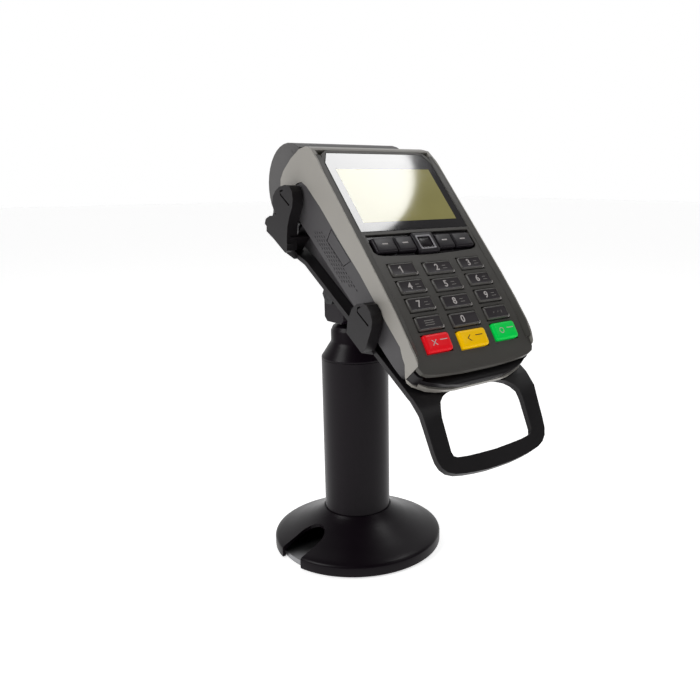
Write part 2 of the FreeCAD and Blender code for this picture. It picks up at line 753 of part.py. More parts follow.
def key_size(row, column):
    wide = "mid_key_width" if column == 1 else "side_key_width"
    deep = "colour_key_depth" if row == 4 else "key_depth"
    return size_of(wide), size_of(deep)


def function_recess(gap):
    """Outline of the recess for the function keys, its lower edge bulging towards the digits."""
    low = [(0.0, FKEY_LOW - 0.8), (16.0, FKEY_LOW - 0.5), (28.0, FKEY_LOW + 0.2), (31.4, FKEY_LOW + 1.0)]
    half = [(x, y + gap) for x, y in low] + [(33.2 - gap, FKEY_LOW + 2.8), (33.2 - gap, FKEY_HIGH - gap)]
    return mirrored(half)


def make_face_bezel():
    """Dark face panel, with a window for the display and a hole for every key."""
    owner = body("face_bezel", FACE)
    skirt = [(BEZEL_FRONT, -8.0), (BEZEL_FRONT - 0.1, -6.6), (BEZEL_FRONT + 0.5, -5.9)]
    skirt += [(BEZEL_FRONT + 1.9, -5.2)]
    top = skirt + crown_line(0.0, BEZEL_FRONT + 4.6) + [(D["knee"], 0.0), (D["face_top"], 0.0)]
    under = [(D["face_top"], -1 * D["bezel_thickness"]), (D["knee"], -1 * D["bezel_thickness"])]
    under += list(reversed(crown_line(D["bezel_thickness"], BEZEL_FRONT + 4.5)))
    lip = [(BEZEL_FRONT + 2.6, -7.1), (BEZEL_FRONT + 1.6, -8.0)]
    slab(owner, "YZ_Plane", top + under + lip, D["bezel_half"] * 2 + 2.4, both_ways=True)
    half = D["bezel_half"]
    plan = [(0.0, -1.9), (12.0, -1.7), (20.0, -1.3), (28.0, -0.7), (33.0, 0.0), (36.0, 1.2), (half + 1.2, 3.4)]
    plan += [(half + 1.2, 4.7), (half + 0.9, 8.0), (half, 20.0)]
    plan += [(half, 118.0), (half - 2.0, 124.5), (half - 6.0, 127.3)]
    trim(owner, "XY_Plane", mirrored(plan))
    rim_loft(owner, "PartDesign::AdditiveLoft", "face_bezel_rim", rim_section, 0.0)
    lens = [(-34.6, LENS_LOW), (34.6, LENS_LOW), (34.6, 119.0), (31.0, LENS_HIGH), (-31.0, LENS_HIGH)]
    lens += [(-34.6, 119.0)]
    cut(owner, "XY_Plane", lens, 1.4)
    cut(owner, "XY_Plane", [(-31.2, 80.2), (31.2, 80.2), (31.2, 116.2), (-31.2, 116.2)], 20.0, both_ways=True)
    cut(owner, "XY_Plane", function_recess(0.0), 20.0, both_ways=True)
    gap = size_of("key_gap")
    for row, y in enumerate(key_rows()):
        holes = sketch(owner, "XY_Plane", face_height(y), lean=face_lean(y), shift=y)
        for column in range(3):
            wide, deep = key_size(row, column)
            x = (column - 1) * D["column_pitch"]
            rise = key_arc(column)
            rectangle(holes, x - wide / 2 - gap, rise - deep / 2 - gap, x + wide / 2 + gap,
                    rise + deep / 2 + gap)
        pocket(owner, holes, 60.0, both_ways=True)


def key_arc(column):
    """The rows bow towards the user: the middle key sits a little lower than its neighbours."""
    return 0.0 if column == 1 else 0.9


def make_function_panel():
    """Glossy black insert round the function keys and the navigation key."""
    owner = body("function_panel", FACE)
    item = sketch(owner, "XY_Plane", -1.0)
    outline(item, function_recess(0.15))
    keys = [(0.0, 60.9), (7.0, 60.9), (7.0, 63.0), (31.6, 63.0), (31.6, 71.8), (7.0, 71.8), (7.0, 73.3)]
    keys += [(0.0, 73.3)]
    outline(item, mirrored(keys))
    pad(owner, item, 1.4, reverse=True)


def make_nose_trim():
    """Black lower lip of the card slot, with its end posts."""
    owner = body("nose_trim", FACE)
    lip = [(6.4, -11.6), (-3.8, -9.3), (-5.6, -9.9), (-6.4, -11.2), (-5.9, -12.7), (6.4, -12.7)]
    slab(owner, "YZ_Plane", lip, D["bezel_half"] * 2 + 2.4, both_ways=True)
    post = [(4.6, -14.6), (-1.9, -14.6), (-1.7, -8.4), (4.6, -8.4)]
    half = D["bezel_half"] + 1.2
    for start in (CORNER_POST, -1 * half):
        slab(owner, "YZ_Plane", post, half - CORNER_POST, offset=start)
    plan = [(0.0, -6.6), (12.0, -6.2), (22.0, -4.8), (30.0, -2.4), (34.4, 0.0), (36.3, 1.4), (half, 3.4)]
    plan += [(half, 6.5)]
    trim(owner, "XY_Plane", mirrored(plan))


def housing_bottom(y, lift=0.0):
    return floor_line(y, lift + 0.3)


def ring_points(radius, start, end, count):
    """Points on a circle about the paper roll, between two angles in degrees."""
    points = []
    for step in range(count + 1):
        angle = math.radians(start + (end - start) * step / count)
        points.append((D["roll_y"] + radius * math.cos(angle), D["roll_z"] + radius * math.sin(angle)))
    return points


def ledge_height(y):
    """Height of the edge where the housing's side turns in under itself."""
    return -15.5 - 0.155 * (y - 2.0)


LEDGE_END = 109.0
POST_TOP = -10.45
BOARD_POSTS = [(x, y, depth) for x in (-26.8, 26.8) for y, depth in ((55.0, 21.2), (103.0, 35.0))]


def make_lower_housing():
    """Bottom shell with the battery bay, the hollow for the electronics and the paper compartment."""
    owner = body("lower_housing", FACE)
    seam = [(5.2, -15.2), (9.4, -10.5)] + [(y, z - SEAM_GAP) for y, z in SEAM] + [(124.8, -21.8),
            (125.7, -26.2)]
    rear = [(127.0, -31.9), (135.4, -36.4), (136.6, -44.0), (134.4, -52.0), (131.4, -56.6)]
    bulge = [(127.0, -56.2), (120.0, -54.4), (112.6, -51.6), (104.0, -47.6)]
    bottom = [(94.0, housing_bottom(94.0)), (8.0, housing_bottom(8.0)), (4.4, -17.6)]
    slab(owner, "YZ_Plane", seam + rear + bulge + bottom, (D["body_half"] - 0.3) * 2, both_ways=True)
    half = D["body_half"] - 0.3
    plan = [(0.0, 4.0), (34.0, 4.0), (37.0, 8.0), (half, 13.0), (half, 118.0), (half - 0.9, 130.0)]
    plan += [(half - 2.2, 138.0)]
    trim(owner, "XY_Plane", mirrored(plan))
    for side in (1, -1):
        for start, end, inward, ledge in ((2.0, LEDGE_END, 31.5, 6.2), (LEDGE_END, 140.0, 36.4, 2.4)):
            shoulder = owner.newObject("PartDesign::SubtractiveLoft", "lower_housing_shoulder")
            near = sketch(owner, "XZ_Plane", -start)
            far = sketch(owner, "XZ_Plane", -end)
            for item, y in ((near, start), (far, end)):
                top = ledge_height(y)
                section = [(39.5, top), (39.5, -80.0), (inward - 0.8, -80.0), (inward, top - ledge)]
                outline(item, [(side * x, z) for x, z in section])
            shoulder.Profile = near
            shoulder.Sections = [far]
            shoulder.Ruled = True
    wall = size_of("wall")
    inside = half - wall - 1.5
    ledge_line = [(104.0, ledge_height(104.0) + 0.6), (8.0, ledge_height(8.0) + 0.6)]
    bay = [(7.4, 5.0), (123.0, 5.0), (123.0, -12.0), (118.4, -15.8), (113.8, -22.0), (110.6, -28.0)]
    cut(owner, "YZ_Plane", bay + ledge_line, inside * 2, both_ways=True)
    sump = [(8.0, -10.0), (110.6, -10.0), (110.6, -45.0), (104.0, -45.2), (94.0, housing_bottom(94.0, wall))]
    cut(owner, "YZ_Plane", sump + [(8.0, housing_bottom(8.0, wall))], 58.4, both_ways=True)
    paper = sketch(owner, "YZ_Plane")
    outline(paper, ring_points(D["dome_radius"] - 1.0, 0.0, 345.0, 23))
    pocket(owner, paper, (D["dome_half"] + 0.2) * 2, both_ways=True)
    printer = [(115.0, 5.0), (130.0, 5.0), (130.0, -26.0), (121.5, -24.6), (115.0, -18.4)]
    cut(owner, "YZ_Plane", printer, (D["dome_half"] + 0.2) * 2, both_ways=True)
    opening = [(128.6, -10.0), (160.0, -10.0), (160.0, -60.0), (hinge_front(), -60.0), (hinge_front(), -51.0)]
    cut(owner, "YZ_Plane", opening, (D["dome_half"] + 0.2) * 2, both_ways=True)
    drill(owner, "YZ_Plane", [(D["hinge_y"], D["hinge_z"])], 1.55, 200.0, both_ways=True)
    for x, y, depth in BOARD_POSTS:
        post = sketch(owner, "XY_Plane", POST_TOP)
        circle(post, x, y, 2.6)
        pad(owner, post, depth, reverse=True)
        hole = sketch(owner, "XY_Plane", POST_TOP)
        circle(hole, x, y, 1.05)
        pocket(owner, hole, 7.0)
    door = [(-24.0, 58.0), (24.0, 58.0), (24.0, 100.0), (-24.0, 100.0)]
    cut(owner, "XY_Plane", door, 40.0, offset=-24.0)
    flap = [(67.6, -11.0), (89.0, -13.2), (87.4, -20.2), (69.4, -17.6)]
    cut(owner, "YZ_Plane", flap, 8.0, offset=-1 * half + 5.0)


def hinge_front():
    return size_of("hinge_y") - 3.4


def make_paper_cover():
    """Rear dome over the paper roll, hinged at its lower edge."""
    owner = body("paper_cover", FACE)
    wall = 1.7
    start = -94.0
    end = 70.0
    outer = ring_points(D["dome_radius"], start, end, 16)
    inner = ring_points(D["dome_radius"] - wall, end, start, 16)
    slab(owner, "YZ_Plane", outer + inner, D["dome_half"] * 2, both_ways=True)
    cheek = ring_points(D["dome_radius"] - 0.6, start + 8, end, 16)
    cheek += [(134.6, -13.4), (132.8, -18.4), (133.6, -30.0), (131.2, -46.0), (130.6, -54.0)]
    for side in (1, -1):
        cheek_start = D["dome_half"] - 1.8 if side > 0 else -1 * D["dome_half"]
        slab(owner, "YZ_Plane", cheek, 1.8, offset=cheek_start)
    knuckle = sketch(owner, "YZ_Plane")
    circle(knuckle, D["hinge_y"], D["hinge_z"], 2.9)
    pad(owner, knuckle, D["dome_half"] * 2, both_ways=True)
    drill(owner, "YZ_Plane", [(D["hinge_y"], D["hinge_z"])], 1.55, 200.0, both_ways=True)
    drill(owner, "YZ_Plane", [(ROLLER_Y, ROLLER_Z)], 1.06, 200.0, both_ways=True)


def make_cover_pin():
    bar("cover_pin", FACE, "YZ_Plane", 1.5, 74.0, a=D["hinge_y"], b=D["hinge_z"])


def make_battery_door():
    owner = body("battery_door", FACE)
    low = 58.3
    high = 93.6
    points = [(low, housing_bottom(low, 0.05)), (high, housing_bottom(high, 0.05))]
    points += [(high, housing_bottom(high, 1.9)), (low, housing_bottom(low, 1.9))]
    slab(owner, "YZ_Plane", points, 47.4, both_ways=True)
    tail = [(high - 0.2, housing_bottom(high, 0.05)), (99.6, -46.0), (99.6, -44.1)]
    tail += [(high - 0.2, housing_bottom(high, 1.9))]
    slab(owner, "YZ_Plane", tail, 47.4, both_ways=True)


def make_battery_pack():
    owner = body("battery_pack", FACE)
    points = [(57.0, housing_bottom(57.0, 2.4)), (99.0, housing_bottom(99.0, 2.4))]
    points += [(99.0, housing_bottom(99.0, 18.4)), (57.0, housing_bottom(57.0, 18.4))]
    slab(owner, "YZ_Plane", points, 46.0, both_ways=True)


def make_connector_flap():
    """Flap over the side sockets, hinged along its lower edge."""
    owner = body("connector_flap", FACE)
    half = D["body_half"] - 0.3
    points = [(68.0, -11.3), (88.5, -13.5), (87.0, -19.9), (69.8, -17.4)]
    slab(owner, "YZ_Plane", points, 1.6, offset=-1 * half)


def make_side_sockets():
    owner = body("side_sockets", FACE)
    item = sketch(owner, "YZ_Plane", -1 * D["body_half"] + 2.6)
    rectangle(item, 70.8, -16.6, 86.0, -13.8)
    pad(owner, item, 2.6)


# ---------------------------------------------------------------- keys

KEY_NAMES = (
    ("key_1", "key_2", "key_3"),
    ("key_4", "key_5", "key_6"),
    ("key_7", "key_8", "key_9"),
    ("key_menu", "key_0", "key_symbols"),
    ("key_cancel", "key_clear", "key_enter"),
)
KEY_RISE = 1.1
FLANGE_DEPTH = 2.7
FLANGE = 1.0
STEM = 0.6


def make_key(label, place, wide, deep, side_flange, end_flange=0.9):
    """A keycap with a flange that stops under the bezel and a short stem over the mat."""
    owner = body(label, place)
    half_w = wide * 0.5
    half_d = deep * 0.5
    corner = 1.2
    cap = [(half_w, corner - half_d), (half_w, half_d - corner), (half_w - corner, half_d)]
    cap = [(half_w - corner, -1 * half_d)] + cap
    item = sketch(owner, "XY_Plane", -1 * FLANGE_DEPTH)
    outline(item, mirrored(cap))
    pad(owner, item, FLANGE_DEPTH + KEY_RISE)
    edge = sketch(owner, "XY_Plane", -1 * FLANGE_DEPTH - FLANGE)
    reach_w = half_w + side_flange
    reach_d = half_d + end_flange
    rectangle(edge, -1 * reach_w, -1 * reach_d, reach_w, reach_d)
    pad(owner, edge, FLANGE)
    stem = sketch(owner, "XY_Plane", -1 * FLANGE_DEPTH - FLANGE - STEM)
    rectangle(stem, -2.5, -1.5, 2.5, 1.5)
    pad(owner, stem, STEM)


def make_number_keys():
    for row, (y, names) in enumerate(zip(key_rows(), KEY_NAMES)):
        for column, label in enumerate(names):
            wide, deep = key_size(row, column)
            row_place = placed(0.0, y, face_height(y), turn_x=face_lean(y))
            spot = row_place.multiply(placed((column - 1) * size_of("column_pitch"), key_arc(column)))
            wide_name = D["mid_key_width"] if column == 1 else D["side_key_width"]
            deep_name = D["colour_key_depth"] if row == 4 else D["key_depth"]
            make_key(label, FACE.multiply(spot), wide_name, deep_name, 0.9)


FUNCTION_KEYS = (("key_f1", -25.1, 12.4), ("key_f2", -12.7, 11.2), ("key_f3", 12.7, 11.2),
        ("key_f4", 25.1, 12.4))


def make_function_keys():
    for label, x, wide in FUNCTION_KEYS:
        make_key(label, FACE.multiply(placed(x, 67.4)), as_dim(wide), as_dim(8.2), 0.0)
    make_key("nav_key", FACE.multiply(placed(0.0, 67.1)), as_dim(13.2), as_dim(11.8), 0.0)


def make_keypad_mat():
    """Silicone mat under all the keys, following the crown of the face."""
    owner = body("keypad_mat", FACE)
    top = crown_line(5.3, 7.6) + [(D["knee"], -5.3), (77.0, -5.3)]
    under = [(77.0, -6.5), (D["knee"], -6.5)] + list(reversed(crown_line(6.5, 7.6)))
    slab(owner, "YZ_Plane", top + under, 68.0, both_ways=True)


# ---------------------------------------------------------------- inside the terminal

def make_display_lens():
    owner = body("display_lens", FACE)
    low = LENS_LOW + 0.15
    high = LENS_HIGH - 0.15
    item = sketch(owner, "XY_Plane", -1.3)
    outline(item, [(-34.4, low), (34.4, low), (34.4, 119.0), (30.9, high), (-30.9, high), (-34.4, 119.0)])
    pad(owner, item, 1.3)


def make_lcd_module():
    owner = body("lcd_module", FACE)
    item = sketch(owner, "XY_Plane", -5.6)
    rectangle(item, -32.8, 78.4, 32.8, 118.0)
    pad(owner, item, 3.1)
    glass = sketch(owner, "XY_Plane", -2.6)
    rectangle(glass, -30.6, 80.8, 30.6, 115.6)
    pad(owner, glass, 1.1)


def make_main_board():
    owner = body("main_board", FACE)
    item = sketch(owner, "XY_Plane", -10.4)
    rectangle(item, -33.0, 20.0, 33.0, 108.0)
    pad(owner, item, 1.4)
    drill(owner, "XY_Plane", [(x, y) for x, y, depth in BOARD_POSTS], 1.05, 60.0, both_ways=True)
    chip = sketch(owner, "XY_Plane", -12.2)
    rectangle(chip, -10.0, 72.0, 10.0, 92.0)
    pad(owner, chip, 1.9)


def make_card_reader():
    """Chip card reader: a shallow box with the card's channel through its front."""
    owner = body("card_reader", FACE.multiply(placed(0.0, -2.0, -8.2, turn_x=-FLOOR_LEAN)))
    slab(owner, "YZ_Plane", [(13.0, -3.0), (52.0, -3.0), (52.0, 1.7), (13.0, 1.7)], 57.6, both_ways=True)
    cut(owner, "YZ_Plane", [(10.0, -0.7), (48.0, -0.7), (48.0, 0.7), (10.0, 0.7)], 55.0, both_ways=True)


ROLLER_Y = 136.4
ROLLER_Z = -17.4
IDLER_Y = 125.9
IDLER_Z = -20.6
PINION_Y = 120.8
PINION_Z = -13.8
GEAR_MODULE = 0.5
ROLLER_TEETH = 20
IDLER_TEETH = 24
PINION_TEETH = 10
GEAR_PLANE = 29.6
GEAR_WIDTH = 1.8


def gear_outline(y, z, teeth, phase):
    """Blunt teeth with backlash, about a centre, the first tooth at the phase angle."""
    pitch_radius = GEAR_MODULE * teeth / 2
    tip = pitch_radius + 0.62 * GEAR_MODULE
    root = pitch_radius - 0.9 * GEAR_MODULE
    step = 360.0 / teeth
    points = []
    for tooth in range(teeth):
        middle = phase + tooth * step
        for radius, share in ((root, -0.34), (tip, -0.12), (tip, 0.12), (root, 0.34)):
            angle = math.radians(middle + share * step)
            points.append((y + radius * math.cos(angle), z + radius * math.sin(angle)))
    return points


def toward(y_from, z_from, y_to, z_to):
    return math.degrees(math.atan2(z_to - z_from, y_to - y_from))


def gear(label, y, z, teeth, phase, bore):
    owner = body(label, FACE)
    item = sketch(owner, "YZ_Plane", GEAR_PLANE)
    outline(item, gear_outline(y, z, teeth, phase))
    circle(item, y, z, bore)
    pad(owner, item, GEAR_WIDTH)
    return owner


def make_printer():
    """Platen roller on the cover, print head and motor in the body, joined by a gear train."""
    roller = body("platen_roller", FACE)
    rubber = sketch(roller, "YZ_Plane")
    circle(rubber, ROLLER_Y, ROLLER_Z, 3.6)
    pad(roller, rubber, 56.0, both_ways=True)
    shaft = sketch(roller, "YZ_Plane")
    circle(shaft, ROLLER_Y, ROLLER_Z, 1.0)
    pad(roller, shaft, 66.2, both_ways=True)
    mesh = toward(ROLLER_Y, ROLLER_Z, IDLER_Y, IDLER_Z)
    gear("platen_gear", ROLLER_Y, ROLLER_Z, ROLLER_TEETH, mesh, 1.05)
    idler_phase = mesh + 180.0 + 180.0 / IDLER_TEETH
    gear("idler_gear", IDLER_Y, IDLER_Z, IDLER_TEETH, idler_phase, 1.05)
    to_pinion = toward(IDLER_Y, IDLER_Z, PINION_Y, PINION_Z)
    turn = (to_pinion - idler_phase) / (360.0 / IDLER_TEETH)
    lead = (turn - round(turn)) * 360.0 / IDLER_TEETH
    pinion_phase = to_pinion + 180.0 + 180.0 / PINION_TEETH + lead * IDLER_TEETH / PINION_TEETH
    gear("motor_pinion", PINION_Y, PINION_Z, PINION_TEETH, pinion_phase, 0.8)
    motor = body("print_motor", FACE)
    can = sketch(motor, "YZ_Plane", 6.0)
    circle(can, PINION_Y, PINION_Z, 3.4)
    pad(motor, can, 22.6)
    spindle = sketch(motor, "YZ_Plane", 28.0)
    circle(spindle, PINION_Y, PINION_Z, 0.75)
    pad(motor, spindle, 4.2)
    head = body("print_head", FACE)
    slab(head, "YZ_Plane", [(129.6, -21.0), (132.4, -20.0), (132.4, -12.2), (129.6, -11.6)], 52.0,
            both_ways=True)


def make_printer_frame():
    """Moulded cross-member that carries the print head, the idler and the motor."""
    owner = body("printer_frame", FACE)
    beam = [(126.8, -6.6), (126.8, -10.8), (129.3, -10.8), (129.3, -21.2), (127.4, -21.2), (127.4, -12.6)]
    beam += [(124.8, -9.2)]
    slab(owner, "YZ_Plane", [(115.4, -6.6)] + beam + [(115.4, -9.2)], 52.0, both_ways=True)
    rib = [(115.4, -6.6)] + beam[:3] + [(129.3, -24.4), (122.6, -23.8), (122.0, -18.4), (115.4, -17.6)]
    slab(owner, "YZ_Plane", rib, 1.0, offset=32.3)
    slab(owner, "YZ_Plane", [(115.4, -6.6), (126.8, -6.6), (126.8, -9.2), (115.4, -9.2)], 8.0, offset=25.0)
    axle = sketch(owner, "YZ_Plane", GEAR_PLANE - 0.4)
    circle(axle, IDLER_Y, IDLER_Z, 1.0)
    pad(owner, axle, 3.2)
    drill(owner, "YZ_Plane", [(PINION_Y, PINION_Z)], 0.8, 4.0, offset=34.0)


ROLL_Y = 127.7
ROLL_Z = -36.05


def make_paper_roll():
    owner = body("paper_roll", FACE)
    item = sketch(owner, "YZ_Plane")
    circle(item, ROLL_Y, ROLL_Z, 14.2)
    circle(item, ROLL_Y, ROLL_Z, 6.2)
    pad(owner, item, 57.0, both_ways=True)


def make_board_screws():
    screws = []
    for number, (x, y, depth) in enumerate(BOARD_POSTS, start=1):
        screws.append(loose_screw("board_screw_%d" % number, 1.9, 1.2, 1.0, 7.0, placed(x, y, -7.75)))
    group("board_screws", FACE, screws)


make_base_pad()
make_base_plate()
make_base_cover()
make_pole_foot()
make_foot_screws()
make_pole_tube()
make_pole_cap()
make_swivel_washer()
make_swivel_bolt()
make_tilt_yoke()
make_tilt_pin()
make_tilt_nut()
make_tray()
make_tilt_bracket()
make_tray_screws()
make_upper_housing()
make_face_bezel()
make_function_panel()
make_nose_trim()
make_lower_housing()
make_paper_cover()
make_cover_pin()
make_battery_door()
make_battery_pack()
make_connector_flap()
make_side_sockets()
make_number_keys()
make_function_keys()
make_keypad_mat()
make_display_lens()
make_lcd_module()
make_main_board()
make_card_reader()
make_printer()
make_printer_frame()
make_paper_roll()
make_board_screws()

# ---------------------------------------------------------------- checks and files

doc.recompute()
faults = []
for item in doc.Objects:
    if "Invalid" in item.State or "Error" in item.State:
        faults.append("%s %s" % (item.Name, item.State))
for part in PARTS:
    if part.Shape.isNull() or not part.Shape.isValid():
        faults.append("%s has no valid shape" % part.Label)
if faults:
    raise RuntimeError("; ".join(faults))

os.makedirs("parts", exist_ok=True)
for part in PARTS:
    part.Shape.exportStep(os.path.join("parts", part.Label + ".step"))
    box = part.Shape.BoundBox
    print("%-16s solids %d volume %9.1f  z %.1f..%.1f" % (part.Label, len(part.Shape.Solids),
            part.Shape.Volume, box.ZMin, box.ZMax))
print(len(PARTS), "parts")
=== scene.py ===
import json
import math

import bmesh
import bpy
from mathutils import Matrix, Vector


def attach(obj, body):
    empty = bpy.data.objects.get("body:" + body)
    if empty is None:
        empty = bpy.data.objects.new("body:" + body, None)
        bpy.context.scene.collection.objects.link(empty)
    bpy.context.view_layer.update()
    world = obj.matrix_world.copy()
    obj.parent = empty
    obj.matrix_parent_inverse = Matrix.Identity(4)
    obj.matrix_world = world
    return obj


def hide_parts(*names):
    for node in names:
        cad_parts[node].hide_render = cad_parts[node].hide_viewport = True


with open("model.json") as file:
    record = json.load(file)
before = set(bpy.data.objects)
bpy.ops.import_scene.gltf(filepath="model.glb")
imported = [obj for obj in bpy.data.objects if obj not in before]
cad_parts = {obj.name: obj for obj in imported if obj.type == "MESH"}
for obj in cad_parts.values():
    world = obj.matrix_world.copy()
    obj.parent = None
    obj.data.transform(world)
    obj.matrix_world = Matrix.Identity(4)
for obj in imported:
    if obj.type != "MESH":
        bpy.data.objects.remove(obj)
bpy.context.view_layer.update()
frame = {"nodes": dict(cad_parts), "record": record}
NODES = frame["nodes"]

MM = 0.001

# The terminal's own frame: x to the right, y along the face to the rear, z out of the face.
FACE_TILT = math.radians(48.0)
FACE = Matrix.Translation((0.0, -105.74 * MM, 132.18 * MM)) @ Matrix.Rotation(FACE_TILT, 4, "X")
KNEE = 45.0
CROWN = 200.0


def face_height(y):
    drop = max(0.0, KNEE - y)
    return math.sqrt(CROWN * CROWN - drop * drop) - CROWN


def face_lean(y):
    return math.asin(max(0.0, KNEE - y) / CROWN)


# ---------------------------------------------------------------- materials

BROAD_GRAIN = 45.0
BUMP_DEPTH = 0.0002
GLOSS_SPREAD = 0.05


def material(name, base, rough, metallic=0.0, grain=900.0, bump=0.12, mottling=0.05, glow=0.0, gleam=0.3):
    """A finish with slight colour mottling, uneven gloss and a fine surface grain."""
    made = bpy.data.materials.new(name)
    made.use_nodes = True
    nodes = made.node_tree.nodes
    links = made.node_tree.links
    shader = nodes["Principled BSDF"]
    shader.inputs["Metallic"].default_value = metallic
    shader.inputs["Specular IOR Level"].default_value = gleam
    where = nodes.new("ShaderNodeTexCoord")
    broad = nodes.new("ShaderNodeTexNoise")
    broad.inputs["Scale"].default_value = BROAD_GRAIN
    broad.inputs["Detail"].default_value = 5.0
    links.new(where.outputs["Object"], broad.inputs["Vector"])
    tint = nodes.new("ShaderNodeValToRGB")
    tint.color_ramp.elements[0].position = 0.35
    tint.color_ramp.elements[1].position = 0.65
    tint.color_ramp.elements[0].color = [c * (1 - mottling) for c in base] + [1.0]
    tint.color_ramp.elements[1].color = [min(1.0, c * (1 + mottling)) for c in base] + [1.0]
    links.new(broad.outputs["Fac"], tint.inputs["Fac"])
    links.new(tint.outputs["Color"], shader.inputs["Base Color"])
    gloss = nodes.new("ShaderNodeMapRange")
    gloss.inputs["To Min"].default_value = max(0.0, rough - GLOSS_SPREAD)
    gloss.inputs["To Max"].default_value = min(1.0, rough + GLOSS_SPREAD)
    links.new(broad.outputs["Fac"], gloss.inputs["Value"])
    links.new(gloss.outputs["Result"], shader.inputs["Roughness"])
    fine = nodes.new("ShaderNodeTexNoise")
    fine.inputs["Scale"].default_value = grain
    fine.inputs["Detail"].default_value = 2.0
    links.new(where.outputs["Object"], fine.inputs["Vector"])
    relief = nodes.new("ShaderNodeBump")
    relief.inputs["Strength"].default_value = bump
    relief.inputs["Distance"].default_value = BUMP_DEPTH
    links.new(fine.outputs["Fac"], relief.inputs["Height"])
    links.new(relief.outputs["Normal"], shader.inputs["Normal"])
    if glow:
        shader.inputs["Emission Color"].default_value = list(base) + [1.0]
        shader.inputs["Emission Strength"].default_value = glow
    return made


# Base colour, roughness and what else sets a finish apart.
FINISH_SETTINGS = {
    "steel": ((0.30, 0.30, 0.31), 0.4, dict(metallic=1.0)),
    "zinc": ((0.05, 0.05, 0.052), 0.45, dict(metallic=1.0)),
    "black_paint": ((0.0060, 0.0035, 0.0060), 0.34, dict(grain=1500.0, bump=0.1, gleam=0.14)),
    "cradle_plastic": ((0.0095, 0.0080, 0.0092), 0.42, dict(grain=1200.0, bump=0.1, gleam=0.27)),
    "band_plastic": ((0.30, 0.285, 0.26), 0.38, dict(grain=1600.0, bump=0.04, mottling=0.02, gleam=0.4)),
    "bezel_plastic": ((0.080, 0.076, 0.069), 0.40, dict(grain=1500.0, bump=0.08, mottling=0.03, gleam=0.22)),
    "panel_gloss": ((0.006, 0.003, 0.006), 0.16, dict(bump=0.02, gleam=0.2)),
    "housing_plastic": ((0.056, 0.053, 0.056), 0.42, dict(grain=1200.0, bump=0.12, gleam=0.35)),
    "cover_plastic": ((0.095, 0.092, 0.092), 0.44, dict(grain=1200.0, bump=0.12, gleam=0.3)),
    "lens": ((0.008, 0.006, 0.008), 0.07, dict(bump=0.0, mottling=0.02, gleam=0.5)),
    "display": ((0.21, 0.19, 0.062), 0.07, dict(bump=0.0, glow=0.4, gleam=0.5)),
    "key_dark": ((0.035, 0.029, 0.033), 0.34, dict(grain=1500.0, bump=0.04, gleam=0.18)),
    "key_rim": ((0.088, 0.083, 0.077), 0.32, dict(grain=1500.0, bump=0.04, gleam=0.45)),
    "key_gloss": ((0.020, 0.017, 0.021), 0.36, dict(bump=0.02, gleam=0.2)),
    "key_chrome": ((0.30, 0.29, 0.31), 0.2, dict(bump=0.02, gleam=0.8)),
    # The red, yellow and green keys glow a little: painted light that makes them brighter than the lamps
    # alone would.
    "key_red": ((0.76, 0.008, 0.016), 0.3, dict(bump=0.02, gleam=0.15, glow=0.28)),
    "key_yellow": ((0.86, 0.50, 0.001), 0.3, dict(bump=0.02, gleam=0.12, glow=0.33)),
    "key_green": ((0.001, 0.56, 0.07), 0.3, dict(bump=0.02, gleam=0.12, glow=0.35)),
    "silicone": ((0.06, 0.06, 0.06), 0.6, dict()),
    "pad_rubber": ((0.02, 0.02, 0.02), 0.8, dict()),
    "board": ((0.01, 0.1, 0.04), 0.4, dict()),
    "inner_plastic": ((0.02, 0.02, 0.02), 0.5, dict()),
    "battery": ((0.1, 0.11, 0.13), 0.4, dict()),
    "gear_plastic": ((0.7, 0.69, 0.62), 0.4, dict()),
    "roller_rubber": ((0.02, 0.02, 0.02), 0.6, dict()),
    "ceramic": ((0.6, 0.59, 0.55), 0.25, dict()),
    "paper": ((0.85, 0.85, 0.83), 0.8, dict()),
    # The white and grey legends glow faintly: painted light that brightens the print. The white legend
    # finish also draws the painted glints on the key corners.
    "legend": ((0.52, 0.49, 0.48), 0.5, dict(bump=0.0, glow=0.1, gleam=0.1)),
    "legend_grey": ((0.22, 0.21, 0.20), 0.5, dict(bump=0.0, glow=0.05, gleam=0.1)),
    "legend_black": ((0.02, 0.015, 0.01), 0.5, dict(bump=0.0)),
}
FINISHES = {
    name: material(name, base, rough, **extra) for name, (base, rough, extra) in FINISH_SETTINGS.items()
}

# ---------------------------------------------------------------- mesh helpers


WELD_GAP = 0.000002


def soften(obj, width, segments=2, angle=32.0):
    """Rounds every edge sharper than the angle and shades the rest smoothly."""
    weld = obj.modifiers.new("weld", "WELD")
    weld.merge_threshold = WELD_GAP
    round_over = obj.modifiers.new("round", "BEVEL")
    round_over.width = width * MM
    round_over.segments = segments
    round_over.limit_method = "ANGLE"
    round_over.angle_limit = math.radians(angle)
    round_over.harden_normals = True
    round_over.use_clamp_overlap = True
    for polygon in obj.data.polygons:
        polygon.use_smooth = True


def dress_node(name, finish, width):
    node = NODES[name]
    custom = node.data.attributes.get("custom_normal")
    if custom is not None:
        node.data.attributes.remove(custom)
    node.data.materials.clear()
    node.data.materials.append(FINISHES[finish])
    if width:
        soften(node, width)


def add_piece(name, points, faces, place, body, finishes, smooth=True):
    """A mesh piece from points in millimetres in a local frame, riding a CAD body."""
    mesh = bpy.data.meshes.new(name)
    mesh.from_pydata([tuple(place @ (Vector(point) * MM)) for point in points], [], faces)
    mesh.validate()
    for finish in finishes:
        mesh.materials.append(FINISHES[finish])
    for polygon in mesh.polygons:
        polygon.use_smooth = smooth
    obj = bpy.data.objects.new(name, mesh)
    bpy.context.scene.collection.objects.link(obj)
    cleaned = bmesh.new()
    cleaned.from_mesh(mesh)
    bmesh.ops.recalc_face_normals(cleaned, faces=cleaned.faces)
    cleaned.to_mesh(mesh)
    cleaned.free()
    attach(obj, body)
    return obj


